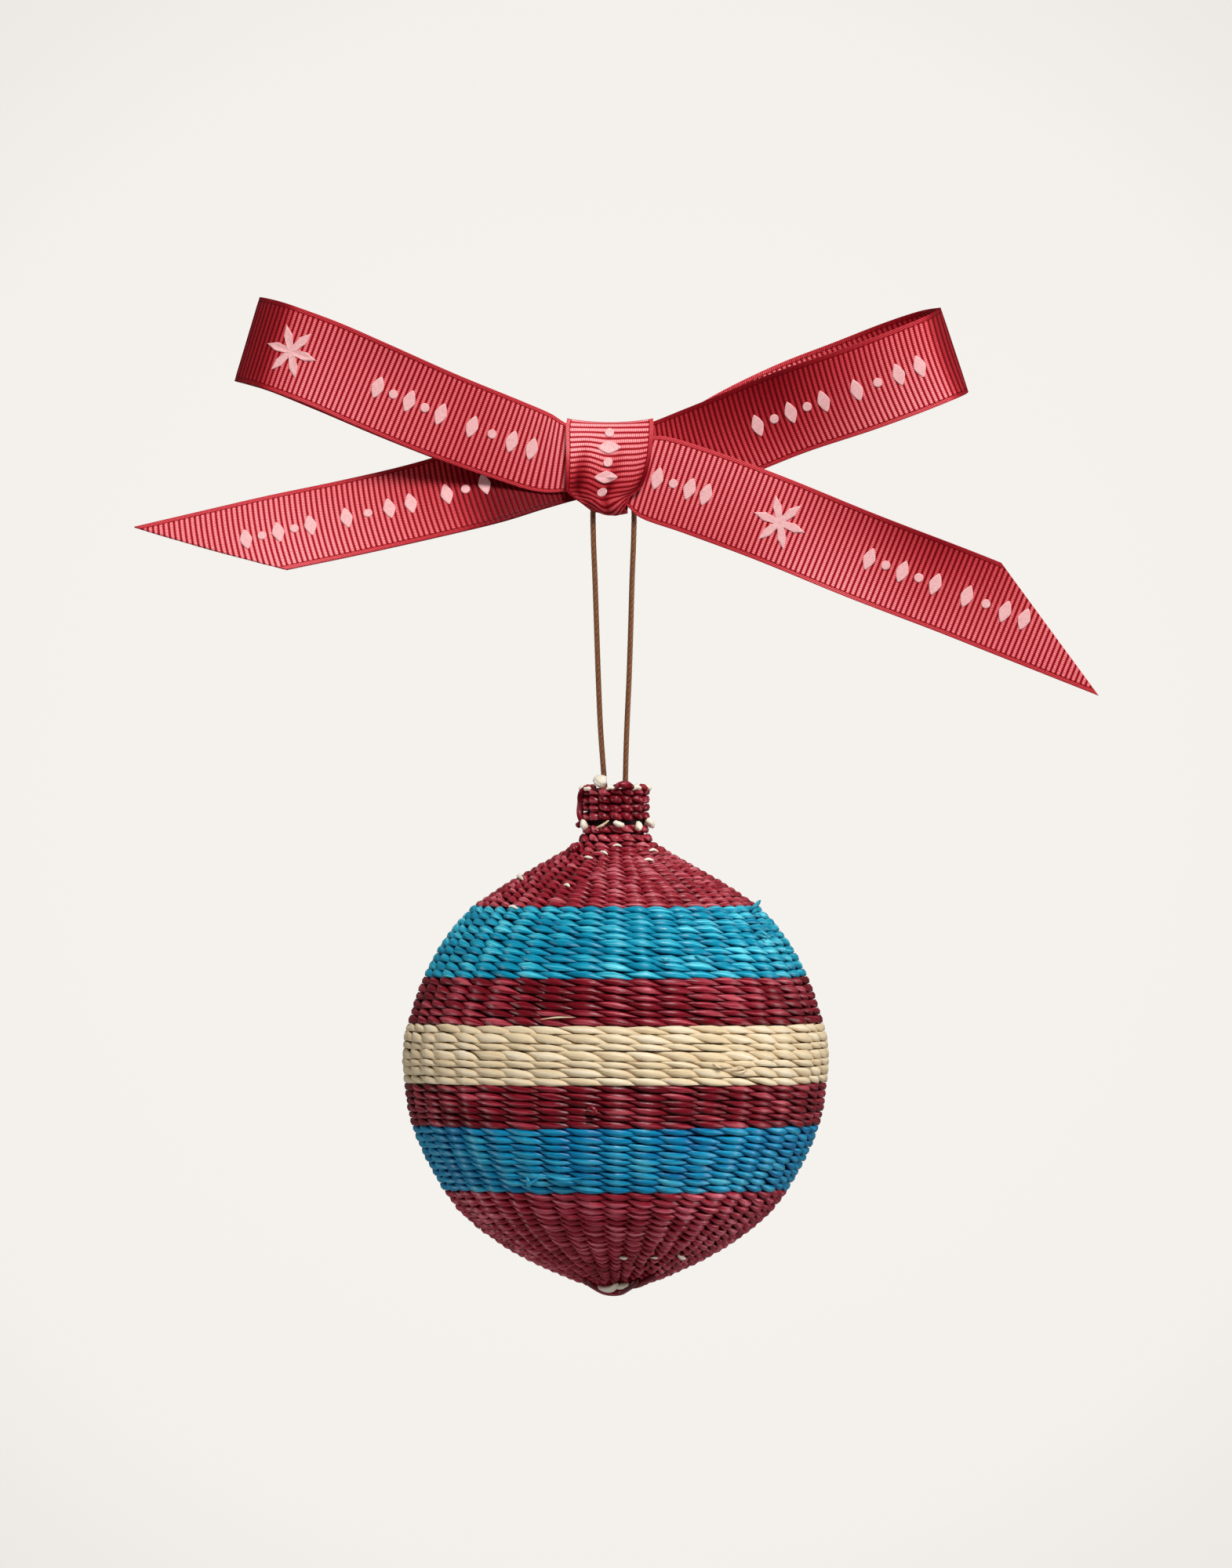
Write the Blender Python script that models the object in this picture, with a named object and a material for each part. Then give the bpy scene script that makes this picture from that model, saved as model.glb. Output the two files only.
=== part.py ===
"""A round bauble twined from dyed straw, on a loop of waxed cord that carries a grosgrain ribbon bow.

Metres, +Z up, X to the viewer's right and Y away from the viewer. The origin is where a hook takes the
cord's loop, just under the bow's knot, and the bauble hangs straight below it.
"""

from math import cos, pi, radians, sin, tan

import bmesh
import bpy
from mathutils import Vector

MM = 0.001

# Straw bauble
GLOBE_DIAMETER = 77.0 * MM  # of the dyed straw at the widest row
BODY_HEIGHT = 84.6 * MM  # from the neck's waist to the tip
BAND_RISE = 0.5 * MM  # the undyed rows stand this much proud
BAND_TOP = 34.8 * MM  # below the waist
BAND_HEIGHT = 11.6 * MM
BAND_ROWS = 7
NECK_DIAMETER = 12.6 * MM
NECK_HEIGHT = 8.0 * MM  # from the rim to the waist
NECK_FOOT = 2.0 * MM  # above the waist, where the neck starts to draw in
WAIST_DIAMETER = 12.2 * MM
RIM_ROUNDING = 0.9 * MM
RIM_STEPS = 3
RIM_DROP = 49.4 * MM  # from the origin down to the rim
MOUTH_DEPTH = 3.0 * MM
TURNED_SIDES = 48
OUTLINE_STEPS = 2  # points of the turned outline for each one given below

# The body's outline below the waist, as shares of the half diameter and of the body's height
OUTLINE_SHARES = (
    (0.185, 0.025),
    (0.385, 0.079),
    (0.680, 0.164),
    (0.822, 0.240),
    (0.911, 0.316),
    (0.970, 0.392),
    (1.000, 0.494),
    (0.990, 0.595),
    (0.941, 0.671),
    (0.858, 0.747),
    (0.745, 0.823),
    (0.535, 0.899),
    (0.323, 0.950),
    (0.135, 0.984),
    (0.0, 1.0),
)

# Waxed cord: one loop from the neck's mouth up through the knot and back
CORD_DIAMETER = 1.0 * MM
CORD_STEP = 2.4 * MM  # between the points of its line
CORD_FINENESS = 12  # places tried for them between two points of the route
CORD_ENDS_APART = 3.55 * MM  # between the two strands in the mouth
CORD_CLEARANCE = 0.35 * MM  # from a strand to the mouth's wall and floor
CORD_ROUTE = (  # x and z of the stretch above the mouth, in millimetres
    (-2.1, -48.0),
    (-2.75, -39.0),
    (-3.15, -30.0),
    (-3.45, -21.0),
    (-3.75, -12.0),
    (-4.05, -4.0),
    (-4.1, 1.0),
    (-3.8, 4.6),
    (-2.6, 7.3),
    (-0.4, 8.5),
    (1.8, 7.3),
    (3.05, 4.6),
    (3.35, 1.0),
    (3.3, -4.0),
    (3.0, -12.0),
    (2.75, -21.0),
    (2.45, -30.0),
    (2.05, -39.0),
    (1.8, -48.0),
)

# Ribbon, tied in a bow over the cord's crown
RIBBON_WIDTH = 16.0 * MM
RIBBON_THICKNESS = 0.4 * MM
LAYER_GAP = 0.35 * MM  # between layers that lie on each other
TAIL_CUT_ANGLE = 32.0  # degrees, between a tail's cut and its length
SPLINE_STEPS = 3  # cross lines for each one given below

# Depths of the knot's layers behind (+) and in front of (-) the cord
PITCH = RIBBON_THICKNESS + LAYER_GAP
UNDER = -(CORD_DIAMETER / 2 + LAYER_GAP + RIBBON_THICKNESS / 2)
OVER = UNDER - PITCH
WRAP_FRONT = OVER - PITCH
BACK_INNER = -UNDER
BACK_OUTER = BACK_INNER + PITCH

# The bow is a free form: its cross lines are given from the knot's middle, in units of a sixteenth of the
# ribbon's width, so that the layers still clear each other when the width changes.
UNIT = RIBBON_WIDTH / 16
KNOT_SIDE = -1.0 * MM  # x of the knot's middle
KNOT_HEIGHT = 9.4 * UNIT  # above the origin

# Cross lines of the ribbon from its right tail to its left one. Each gives its middle's x, its depth behind
# the layer that it is on and its z, all three in units, then the slope of the line in degrees from +X to
# its first edge, the lean of that edge away from the viewer in degrees, and the gathered width as a share
# of the full one.
RIGHT_TAIL = (
    (80.1, -2.4, -30.3, 68.0, 0.0, 1.0),
    (71.5, -2.7, -26.9, 68.0, 0.0, 1.0),
    (63.2, -2.9, -23.6, 68.0, 0.0, 1.0),
    (46.0, -2.4, -17.0, 68.0, 0.0, 1.0),
    (28.9, -1.5, -10.0, 68.5, 0.0, 1.0),
    (16.0, -0.6, -5.2, 70.0, 0.0, 1.0),
    (7.4, -0.1, -2.4, 73.0, 0.0, 0.96),
    (5.2, 0.0, -1.6, 74.0, 0.0, 0.84),
    (3.1, 0.0, -0.8, 76.0, 0.0, 0.78),
    (0.0, 0.0, -0.1, 78.0, 0.0, 0.76),
    (-4.0, 0.0, 0.4, 79.0, 0.0, 0.76),
    (-7.6, 0.0, 0.7, 81.0, 0.0, 0.75),
)
LEFT_LOOP_FRONT = (
    (-9.9, -0.1, 1.2, 81.0, 0.0, 0.83),
    (-12.5, -0.3, 2.0, 76.0, 0.0, 0.90),
    (-18.3, -0.9, 4.1, 71.0, 0.0, 0.94),
    (-31.2, -2.4, 9.0, 68.5, 0.0, 0.98),
    (-44.0, -3.3, 14.5, 67.5, 0.0, 1.0),
    (-55.5, -2.9, 19.4, 69.5, 0.0, 1.0),
    (-62.4, -1.2, 21.8, 72.0, 0.0, 1.0),
    (-65.4, 0.7, 22.6, 73.3, 0.0, 1.0),
)
LEFT_LOOP_BACK = (
    (-66.1, 0.9, 22.7, 73.3, 0.0, 1.0),
    (-64.6, 3.0, 22.4, 72.5, 0.0, 1.0),
    (-60.0, 4.7, 21.0, 70.5, 0.0, 1.0),
    (-51.0, 5.6, 17.4, 68.5, 0.0, 1.0),
    (-39.0, 5.2, 12.3, 68.0, 0.0, 1.0),
    (-27.0, 3.6, 7.3, 69.0, 0.0, 0.96),
    (-17.0, 1.7, 3.4, 73.0, 0.0, 0.85),
    (-9.5, 0.4, 0.7, 79.0, 0.0, 0.70),
)
WRAP_RISING = (
    (-0.07, 0.0, 3.4, 10.0, 0.0, 0.84),
    (-0.07, -0.05, 6.2, 0.0, 0.0, 0.95),
)
WRAP_TOP = (
    (0.0, 1.3, 7.85, 0.0, 0.0, 0.98),
    (0.0, -0.3, 8.0, 0.0, 0.0, 0.98),
    (0.0, -2.0, 7.85, 0.0, 0.0, 0.98),
)
WRAP_FALLING = (
    (-0.1, 0.0, 6.6, 0.0, 0.0, 1.0),
    (-0.2, -0.2, 2.6, 0.0, 0.0, 0.98),
    (-0.5, -0.2, -0.8, 0.0, 0.0, 0.94),
    (-1.0, -0.15, -3.8, 0.0, 0.0, 0.86),
    (-1.6, -0.05, -6.0, 0.0, 0.0, 0.68),
    (-1.1, 0.0, -7.4, -2.0, 0.0, 0.44),
)
WRAP_UNDER = (
    (-0.3, -1.7, -8.45, -4.0, 0.0, 0.33),
    (0.5, -0.5, -8.65, -3.0, 0.0, 0.31),
    (0.65, 0.7, -8.55, 0.0, 0.0, 0.31),
)
TURN_BEHIND = (
    (0.7, -0.2, -7.9, 0.0, 0.0, 0.32),
    (0.7, 0.15, -6.0, -4.0, 0.0, 0.33),
    (1.15, 0.6, -3.9, -25.0, 0.0, 0.35),
    (2.45, 0.8, -2.2, -48.0, 0.0, 0.38),
    (5.0, 0.9, -0.8, -64.0, 0.0, 0.43),
    (11.0, 1.8, 1.7, -67.0, 0.0, 0.62),
    (21.0, 3.7, 5.7, -68.0, 0.0, 0.88),
    (33.0, 5.4, 10.6, -68.0, 0.0, 1.0),
    (44.5, 5.9, 15.1, -68.0, 0.0, 1.0),
    (53.0, 5.1, 18.4, -68.5, 0.0, 1.0),
    (58.6, 3.6, 20.2, -70.0, 0.0, 1.0),
)
RIGHT_LOOP_FRONT = (
    (61.8, 3.6, 20.7, -71.7, 0.0, 1.0),
    (62.6, 1.4, 20.7, -71.7, 0.0, 1.0),
    (61.3, -0.4, 19.8, -71.7, 0.0, 1.0),
    (57.5, -1.9, 18.1, -70.5, 0.0, 1.0),
    (46.0, -2.4, 13.7, -70.0, 0.0, 1.0),
    (33.2, -1.3, 9.4, -70.5, 0.0, 1.0),
    (17.4, -0.1, 3.2, -71.0, 0.0, 0.96),
    (7.4, 0.0, 0.3, -80.0, 0.0, 0.86),
    (3.0, 0.0, 0.1, -88.0, 0.0, 0.80),
    (0.0, 0.0, 0.1, -90.0, 0.0, 0.78),
    (-3.5, 0.0, 0.2, -88.0, 0.0, 0.80),
)
LEFT_TAIL = (
    (-7.5, 0.05, 0.0, -82.0, 0.0, 0.86),
    (-14.0, 0.2, -1.3, -76.0, -10.0, 0.93),
    (-22.6, 0.4, -3.8, -74.5, -22.0, 1.0),
    (-35.5, 0.7, -7.2, -76.0, -28.0, 1.0),
    (-48.3, 0.9, -10.1, -77.5, -29.0, 1.0),
    (-61.2, 0.4, -12.8, -77.5, -29.0, 1.0),
    (-73.2, -0.4, -15.6, -77.5, -29.0, 1.0),
)
FOLD_CENTRE = (-0.07, -0.5)  # x and z, in units, where the loop's end folds up behind the knot
FOLD_HEADING = -8.0  # degrees, the way the ribbon runs into the fold
FOLD_SHARE = 0.70  # of the ribbon's width, gathered there
FOLD_STEPS = 4


def clear_scene():
    for item in list(bpy.data.objects):
        bpy.data.objects.remove(item, do_unlink=True)


def finish(name, colour, roughness):
    material = bpy.data.materials.new(name)
    material.use_nodes = True
    surface = material.node_tree.nodes["Principled BSDF"]
    surface.inputs["Base Color"].default_value = (*colour, 1.0)
    surface.inputs["Roughness"].default_value = roughness
    surface.inputs["Metallic"].default_value = 0.0
    return material


def add_object(name, data, material):
    item = bpy.data.objects.new(name, data)
    data.materials.append(material)
    bpy.context.collection.objects.link(item)
    return item


def smooth_rows(rows, steps):
    """Rows on a smooth curve through the given ones, paced by the distance in their first three numbers."""
    points = [rows[0] * 2 - rows[1], *rows, rows[-1] * 2 - rows[-2]]
    result = []
    for before, start, end, after in zip(points, points[1:], points[2:], points[3:]):
        spans = [max((b - a).to_3d().length, 1e-9) ** 0.5
                 for a, b in ((before, start), (start, end), (end, after))]
        chord = end - start
        leave = chord + spans[1] * ((start - before) / spans[0] - (end - before) / (spans[0] + spans[1]))
        arrive = chord + spans[1] * ((after - end) / spans[2] - (after - start) / (spans[1] + spans[2]))
        for step in range(steps):
            t = step / steps
            result.append(
                start * (2 * t**3 - 3 * t**2 + 1)
                + leave * (t**3 - 2 * t**2 + t)
                + end * (3 * t**2 - 2 * t**3)
                + arrive * (t**3 - t**2)
            )
    result.append(rows[-1])
    return result


def band_swell(below_waist):
    """How far the undyed rows stand out, rising and falling over one row of straw."""
    row = BAND_HEIGHT / BAND_ROWS
    inside = min(below_waist - BAND_TOP, BAND_TOP + BAND_HEIGHT - below_waist)
    return BAND_RISE * min(max(inside / row, 0.0), 1.0)


def globe_outline():
    """Radius and height from the mouth's floor out over the rim and down to the tip."""
    mouth = (CORD_ENDS_APART + CORD_DIAMETER) / 2 + CORD_CLEARANCE
    neck = NECK_DIAMETER / 2
    waist = WAIST_DIAMETER / 2
    rim = -RIM_DROP
    waist_height = rim - NECK_HEIGHT
    outline = [(0.0, rim - MOUTH_DEPTH), (mouth, rim - MOUTH_DEPTH), (mouth, rim)]
    for step in range(RIM_STEPS + 1):
        angle = pi / 2 * step / RIM_STEPS
        outline.append(
            (neck - RIM_ROUNDING * (1 - sin(angle)), rim - RIM_ROUNDING * (1 - cos(angle)))
        )
    outline.append((neck, waist_height + NECK_FOOT))
    body = [Vector((waist, 0.0, 0.0, 0.0))]
    for radius_share, height_share in OUTLINE_SHARES:
        body.append(Vector((GLOBE_DIAMETER / 2 * radius_share, BODY_HEIGHT * height_share, 0.0, 0.0)))
    for point in smooth_rows(body, OUTLINE_STEPS):
        outline.append((point.x + band_swell(point.y), waist_height - point.y))
    outline[-1] = (0.0, waist_height - BODY_HEIGHT)
    return outline


def make_globe():
    outline = globe_outline()
    mesh = bpy.data.meshes.new("woven_globe")
    edges = [(index, index + 1) for index in range(len(outline) - 1)]
    mesh.from_pydata([(radius, 0.0, height) for radius, height in outline], edges, [])
    globe = add_object("woven_globe", mesh, finish("dyed_straw", (0.21, 0.008, 0.022), 0.45))
    screw = globe.modifiers.new("turned", "SCREW")
    screw.axis = "Z"
    screw.steps = TURNED_SIDES
    screw.render_steps = TURNED_SIDES
    screw.use_merge_vertices = True
    screw.merge_threshold = 0.00001
    screw.use_smooth_shade = True


def make_cord():
    floor = -RIM_DROP - MOUTH_DEPTH + CORD_CLEARANCE
    end = CORD_ENDS_APART / 2
    route = [Vector((-end, 0.0, floor, 0.0))]
    route += [Vector((x * MM, 0.0, z * MM, 0.0)) for x, z in CORD_ROUTE]
    route.append(Vector((end, 0.0, floor, 0.0)))
    line = smooth_rows(route, CORD_FINENESS)
    points = [line[0]]
    for point in line[1:-1]:
        left = (line[-1] - point).length
        if (point - points[-1]).length >= CORD_STEP and left > CORD_STEP / 2:
            points.append(point)
    points.append(line[-1])
    curve = bpy.data.curves.new("hanging_cord", "CURVE")
    curve.dimensions = "3D"
    curve.bevel_depth = CORD_DIAMETER / 2
    curve.bevel_resolution = 2
    curve.use_fill_caps = True
    spline = curve.splines.new("POLY")
    spline.points.add(len(points) - 1)
    for target, point in zip(spline.points, points):
        target.co = (*point.to_3d(), 1.0)
    add_object("hanging_cord", curve, finish("waxed_cord", (0.19, 0.075, 0.033), 0.5))


def from_knot(x, depth, z):
    """Where a point of the bow lies, from its x and z in units and its depth in metres."""
    return Vector((KNOT_SIDE + x * UNIT, depth, KNOT_HEIGHT + z * UNIT))


def cross_line(middle, slope, lean, share):
    """Middle of a cross line, the way to its first edge, and its width share, as one row of numbers."""
    slope = radians(slope)
    lean = radians(lean)
    way = (cos(slope) * cos(lean), sin(lean), sin(slope) * cos(lean))
    return Vector((*middle, *way, share))


def layer_lines(rows, layer):
    return [cross_line(from_knot(x, layer + depth * UNIT, z), slope, lean, share)
            for x, depth, z, slope, lean, share in rows]


def fold_lines():
    """Round the slanted crease where the left loop's end turns up to become the wrap."""
    crease = (FOLD_HEADING + 90) / 2
    radius = PITCH / 2
    along = Vector((cos(radians(crease)), 0.0, sin(radians(crease))))
    outward = Vector((along.z, 0.0, -along.x))
    advance = radius * pi / 2 * tan(radians(90 - crease + FOLD_HEADING))
    lines = []
    for step in range(FOLD_STEPS + 1):
        angle = pi * step / FOLD_STEPS
        middle = from_knot(FOLD_CENTRE[0], BACK_INNER + radius * (1 - cos(angle)), FOLD_CENTRE[1])
        middle += outward * radius * sin(angle) + along * advance * (step / FOLD_STEPS * 2 - 1)
        lines.append(cross_line(middle, crease, 0.0, FOLD_SHARE))
    return lines


def ribbon_lines():
    """Middle and half line of every cross line, both tails cut on the slant."""
    given = layer_lines(RIGHT_TAIL, OVER) + layer_lines(LEFT_LOOP_FRONT, OVER)
    given += layer_lines(LEFT_LOOP_BACK, BACK_INNER) + fold_lines()
    given += layer_lines(WRAP_RISING, BACK_OUTER) + layer_lines(WRAP_TOP, 0.0)
    given += layer_lines(WRAP_FALLING, WRAP_FRONT) + layer_lines(WRAP_UNDER, 0.0)
    given += layer_lines(TURN_BEHIND, BACK_OUTER) + layer_lines(RIGHT_LOOP_FRONT, UNDER)
    given += layer_lines(LEFT_TAIL, UNDER)
    rows = smooth_rows(given, SPLINE_STEPS)
    middles = [row.to_3d() for row in rows]
    lengths = [0.0]
    for start, end in zip(middles, middles[1:]):
        lengths.append(lengths[-1] + (end - start).length)
    cut = RIBBON_WIDTH / 2 / tan(radians(TAIL_CUT_ANGLE))
    lines = []
    for index, row in enumerate(rows):
        heading = middles[min(index + 1, len(rows) - 1)] - middles[max(index - 1, 0)]
        heading.normalize()
        way = Vector(row[3:6]).normalized()
        half = way * (RIBBON_WIDTH / 2 * row[6] / way.cross(heading).length)
        from_start = max(1 - lengths[index] / (2 * cut), 0.0)
        from_end = max(1 - (lengths[-1] - lengths[index]) / (2 * cut), 0.0)
        half += heading * cut * (from_start - from_end)
        lines.append((middles[index], half))
    return lines


def make_ribbon():
    lines = ribbon_lines()
    points = []
    for middle, half in lines:
        points += [middle + half, middle - half]
    faces = [(2 * i, 2 * i + 1, 2 * i + 3, 2 * i + 2) for i in range(len(lines) - 1)]
    mesh = bpy.data.meshes.new("ribbon_bow")
    mesh.from_pydata(points, [], faces)
    work = bmesh.new()
    work.from_mesh(mesh)
    bmesh.ops.recalc_face_normals(work, faces=work.faces)
    work.to_mesh(mesh)
    work.free()
    ribbon = add_object("ribbon_bow", mesh, finish("rose_grosgrain", (0.52, 0.045, 0.07), 0.5))
    solid = ribbon.modifiers.new("thickness", "SOLIDIFY")
    solid.thickness = RIBBON_THICKNESS
    solid.offset = 0.0


clear_scene()
make_globe()
make_cord()
make_ribbon()
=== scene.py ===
"""Looks of the straw bauble: its twined rows, its waxed cord and its grosgrain bow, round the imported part.

Metres, +Z up, X to the viewer's right and Y away from the viewer, as in the part. The origin is where a hook
takes the cord's loop.
"""

from math import cos, pi, radians, sin, tan

import bmesh
import bpy
import numpy as np
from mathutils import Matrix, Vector


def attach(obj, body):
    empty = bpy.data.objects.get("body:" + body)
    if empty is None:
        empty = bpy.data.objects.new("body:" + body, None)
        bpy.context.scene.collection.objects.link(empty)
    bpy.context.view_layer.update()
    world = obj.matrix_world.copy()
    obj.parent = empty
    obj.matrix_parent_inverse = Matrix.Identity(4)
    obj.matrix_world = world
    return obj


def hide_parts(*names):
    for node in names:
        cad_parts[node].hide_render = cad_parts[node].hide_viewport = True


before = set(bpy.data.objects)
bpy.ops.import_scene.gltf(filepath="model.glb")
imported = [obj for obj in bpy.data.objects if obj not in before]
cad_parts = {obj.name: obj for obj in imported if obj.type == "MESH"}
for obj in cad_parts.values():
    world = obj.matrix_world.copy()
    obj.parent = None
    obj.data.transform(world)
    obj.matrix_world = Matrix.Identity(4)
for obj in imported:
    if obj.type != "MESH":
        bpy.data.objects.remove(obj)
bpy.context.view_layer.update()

MM = 0.001

# The picture, and the camera that takes it
PICTURE_WIDTH = 1571
PICTURE_HEIGHT = 2000
PIXEL = 0.143 * MM  # what one pixel spans at the bauble
AXIS_COLUMN = 785.0
HOOK_ROW = 656.8
CAMERA_DISTANCE = 3.0
SENSOR = 36.0

# Waxed cord, from one end in the neck's mouth over the bow's knot to the other; x and z, as in the part
CORD_DIAMETER = 1.0 * MM
CORD_ROUTE = (
    (-0.001775, -0.05205), (-0.0021, -0.048), (-0.00275, -0.039), (-0.00315, -0.03), (-0.00345, -0.021),
    (-0.00375, -0.012), (-0.00405, -0.004), (-0.0041, 0.001), (-0.0038, 0.0046), (-0.0026, 0.0073),
    (-0.0004, 0.0085), (0.0018, 0.0073), (0.00305, 0.0046), (0.00335, 0.001), (0.0033, -0.004),
    (0.003, -0.012), (0.00275, -0.021), (0.00245, -0.03), (0.00205, -0.039), (0.0018, -0.048),
    (0.001775, -0.05205),
)
CORD_STEPS = 24  # points of the cord's line for each two of its route
CORD_SIDES = 18
CORD_PLIES = 3
CORD_PLY_DEPTH = 0.06  # of the cord's radius
CORD_TWIST = 3.4 * MM  # length of one turn of its plies

# Room. Both runs of colour go by shares: the backdrop's from the picture's middle to its corners, which it
# darkens as painted shade, and the glow's from straight below to straight above.
BACKDROP = ((0.50, (0.913, 0.888, 0.850)), (0.79, (0.896, 0.871, 0.831)), (1.0, (0.839, 0.815, 0.775)))
PICTURE_CORNER = 0.0606  # sine of the angle from the middle of the view to its corners
ROOM_GLOW = ((0.0, (0.29,) * 3), (0.42, (0.08,) * 3), (0.62, (0.09,) * 3), (1.0, (0.20,) * 3))
FLOOR_HEIGHT = -0.62
FLOOR_RADIUS = 3.0
FLOOR_SHADE = (0.42, 0.41, 0.39, 1.0)
FLOOR_GLOW = (0.66, 0.64, 0.61, 1.0)
FLOOR_SIDES = 96
LIT_POINT = (0.0, 0.0, -0.06)
# Lights: place, size, power, and whether they show in gloss
LIGHTS = (
    ("key", (0.32, -0.98, 0.90), (0.42, 0.42), 19.5, True),
    ("low_fill", (-0.1, -1.1, -0.75), (0.5, 0.5), 11.0, False),
    ("back_fill", (-0.2, 1.2, 0.45), (0.6, 0.6), 9.0, False),
    ("left_strip", (-1.0, 0.05, -0.25), (0.25, 0.8), 2.8, True),
    ("right_strip", (1.0, 0.05, -0.15), (0.25, 0.8), 4.6, True),
)

# Grosgrain ribbon
RIBBON_WIDTH = 16.0 * MM
RIBBON_THICKNESS = 0.26 * MM  # between the ribs of its two faces
LAYER_PITCH = 0.75 * MM
UNDER = -1.05 * MM
OVER = UNDER - LAYER_PITCH
WRAP_FRONT = OVER - LAYER_PITCH
BACK_INNER = -UNDER
BACK_OUTER = BACK_INNER + LAYER_PITCH
KNOT_SIDE = -1.0 * MM
KNOT_HEIGHT = 9.4 * MM
TAIL_CUT_ANGLE = 32.0
RIB_PITCH = 0.98 * MM
RIB_HEIGHT = 0.11 * MM
RIB_LINES = 4  # lines of the mesh for each rib
SELVEDGE = 0.10  # of the half width
SATIN_TINT = (1.0, 0.45, 0.5, 1.0)
RIBBON_COLUMNS = (0.0, 0.14, 0.28, 0.42, 0.56, 0.68, 0.79, 0.87, 0.92, 0.97, 1.0)

# Cross lines of the ribbon from its right tail to its left one, as in the part: x, depth behind its layer and
# z in millimetres, slope in degrees, the gathered share of its width and its lean in degrees
RIGHT_TAIL = (
    (80.1, -2.4, -30.3, 68), (71.5, -2.7, -26.9, 68), (63.2, -2.9, -23.6, 68), (46, -2.4, -17, 68),
    (28.9, -1.5, -10, 68.5), (16, -0.6, -5.2, 70), (7.4, -0.1, -2.4, 73, 0.96), (5.2, 0, -1.6, 74, 0.84),
    (3.1, 0, -0.8, 76, 0.78), (0, 0, -0.1, 78, 0.76), (-4, 0, 0.4, 79, 0.76), (-7.6, 0, 0.7, 81, 0.75),
)
LEFT_LOOP_FRONT = (
    (-9.9, -0.1, 1.2, 81, 0.83), (-12.5, -0.3, 2, 76, 0.9), (-18.3, -0.9, 4.1, 71, 0.94),
    (-31.2, -2.4, 9, 68.5, 0.98), (-44, -3.3, 14.5, 67.5), (-52, -3.2, 18, 69), (-57.5, -2.1, 20.1, 70.2),
    (-62, 0.2, 21.7, 72), (-65, 3, 22.5, 73.2),
)
LEFT_LOOP_BACK = (
    (-66.1, 2.6, 22.7, 73.3), (-64.8, 4.7, 22.4, 72.5), (-60, 6.3, 21, 70.5), (-51, 6.6, 17.4, 68.5),
    (-39, 5.2, 12.3, 68), (-27, 3.6, 7.3, 69, 0.96), (-17, 1.7, 3.4, 73, 0.85), (-9.5, 0.4, 0.7, 79, 0.7),
)
WRAP_RISING = (
    (-0.07, 0, 3.4, 10, 0.84), (-0.07, -0.05, 6.2, 0, 0.95),
)
WRAP_TOP = (
    (0, 1.3, 7.85, 0, 0.98), (0, -0.3, 8, 0, 0.98), (0, -2, 7.85, 0, 0.98),
)
WRAP_FALLING = (
    (-0.1, 0, 6.6, 0), (-0.2, -0.2, 2.6, 0, 0.98), (-0.5, -0.2, -0.8, 0, 0.94), (-1, -0.15, -3.8, 0, 0.86),
    (-1.6, -0.05, -6, 0, 0.68), (-1.1, 0, -7.4, -2, 0.44),
)
WRAP_UNDER = (
    (-0.3, -1.7, -8.45, -4, 0.33), (0.5, -0.5, -8.65, -3, 0.31), (0.65, 0.7, -8.55, 0, 0.31),
)
TURN_BEHIND = (
    (0.7, -0.2, -7.9, 0, 0.32), (0.7, 0.15, -6, -4, 0.33), (1.15, 0.6, -3.9, -25, 0.35),
    (2.45, 0.8, -2.2, -48, 0.38), (5, 0.9, -0.8, -64, 0.43), (11, 1.8, 1.7, -67, 0.62),
    (21, 3.7, 5.7, -68, 0.88), (33, 5.4, 10.6, -68), (44.5, 5.9, 15.1, -68), (53, 5.1, 18.4, -68.5),
    (58.6, 3.6, 20.2, -70),
)
RIGHT_LOOP_FRONT = (
    (61.8, 3.6, 20.7, -71.7), (62.6, 1.4, 20.7, -71.7), (61.3, -0.4, 19.8, -71.7),
    (57.5, -1.9, 18.1, -70.5, 1, 3), (46, -2.4, 13.7, -70, 1, 10), (33.2, -1.3, 9.4, -70.5, 1, 14),
    (17.4, -0.1, 3.2, -71, 0.96, 7), (7.4, 0, 0.3, -80, 0.86), (3, 0, 0.1, -88, 0.8),
    (0, 0, 0.1, -90, 0.78), (-3.5, 0, 0.2, -88, 0.8),
)
LEFT_TAIL = (
    (-7.5, 0.05, 0, -82, 0.86), (-14, 0.2, -1.3, -76, 0.93, -10), (-22.6, 0.4, -3.8, -74.5, 1, -22),
    (-35.5, 0.7, -7.2, -76, 1, -28), (-48.3, 0.9, -10.1, -77.5, 1, -29), (-61.2, 0.4, -12.8, -77.5, 1, -29),
    (-73.2, -0.4, -15.6, -77.5, 1, -29),
)
PARTS = (
    (RIGHT_TAIL, OVER), (LEFT_LOOP_FRONT, OVER), (LEFT_LOOP_BACK, BACK_INNER), (WRAP_RISING, BACK_OUTER),
    (WRAP_TOP, 0.0), (WRAP_FALLING, WRAP_FRONT), (WRAP_UNDER, 0.0), (TURN_BEHIND, BACK_OUTER),
    (RIGHT_LOOP_FRONT, UNDER), (LEFT_TAIL, UNDER),
)
FOLD_PART = 3  # the place in that order of the fold where the left loop turns up into the wrap
FOLD_CENTRE = (-0.07, -0.5)
FOLD_HEADING = -8.0
FOLD_SHARE = 0.70
FOLD_STEPS = 4
LINE_STEPS = 8  # lines of the ribbon's surface for each of the cross lines
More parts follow.
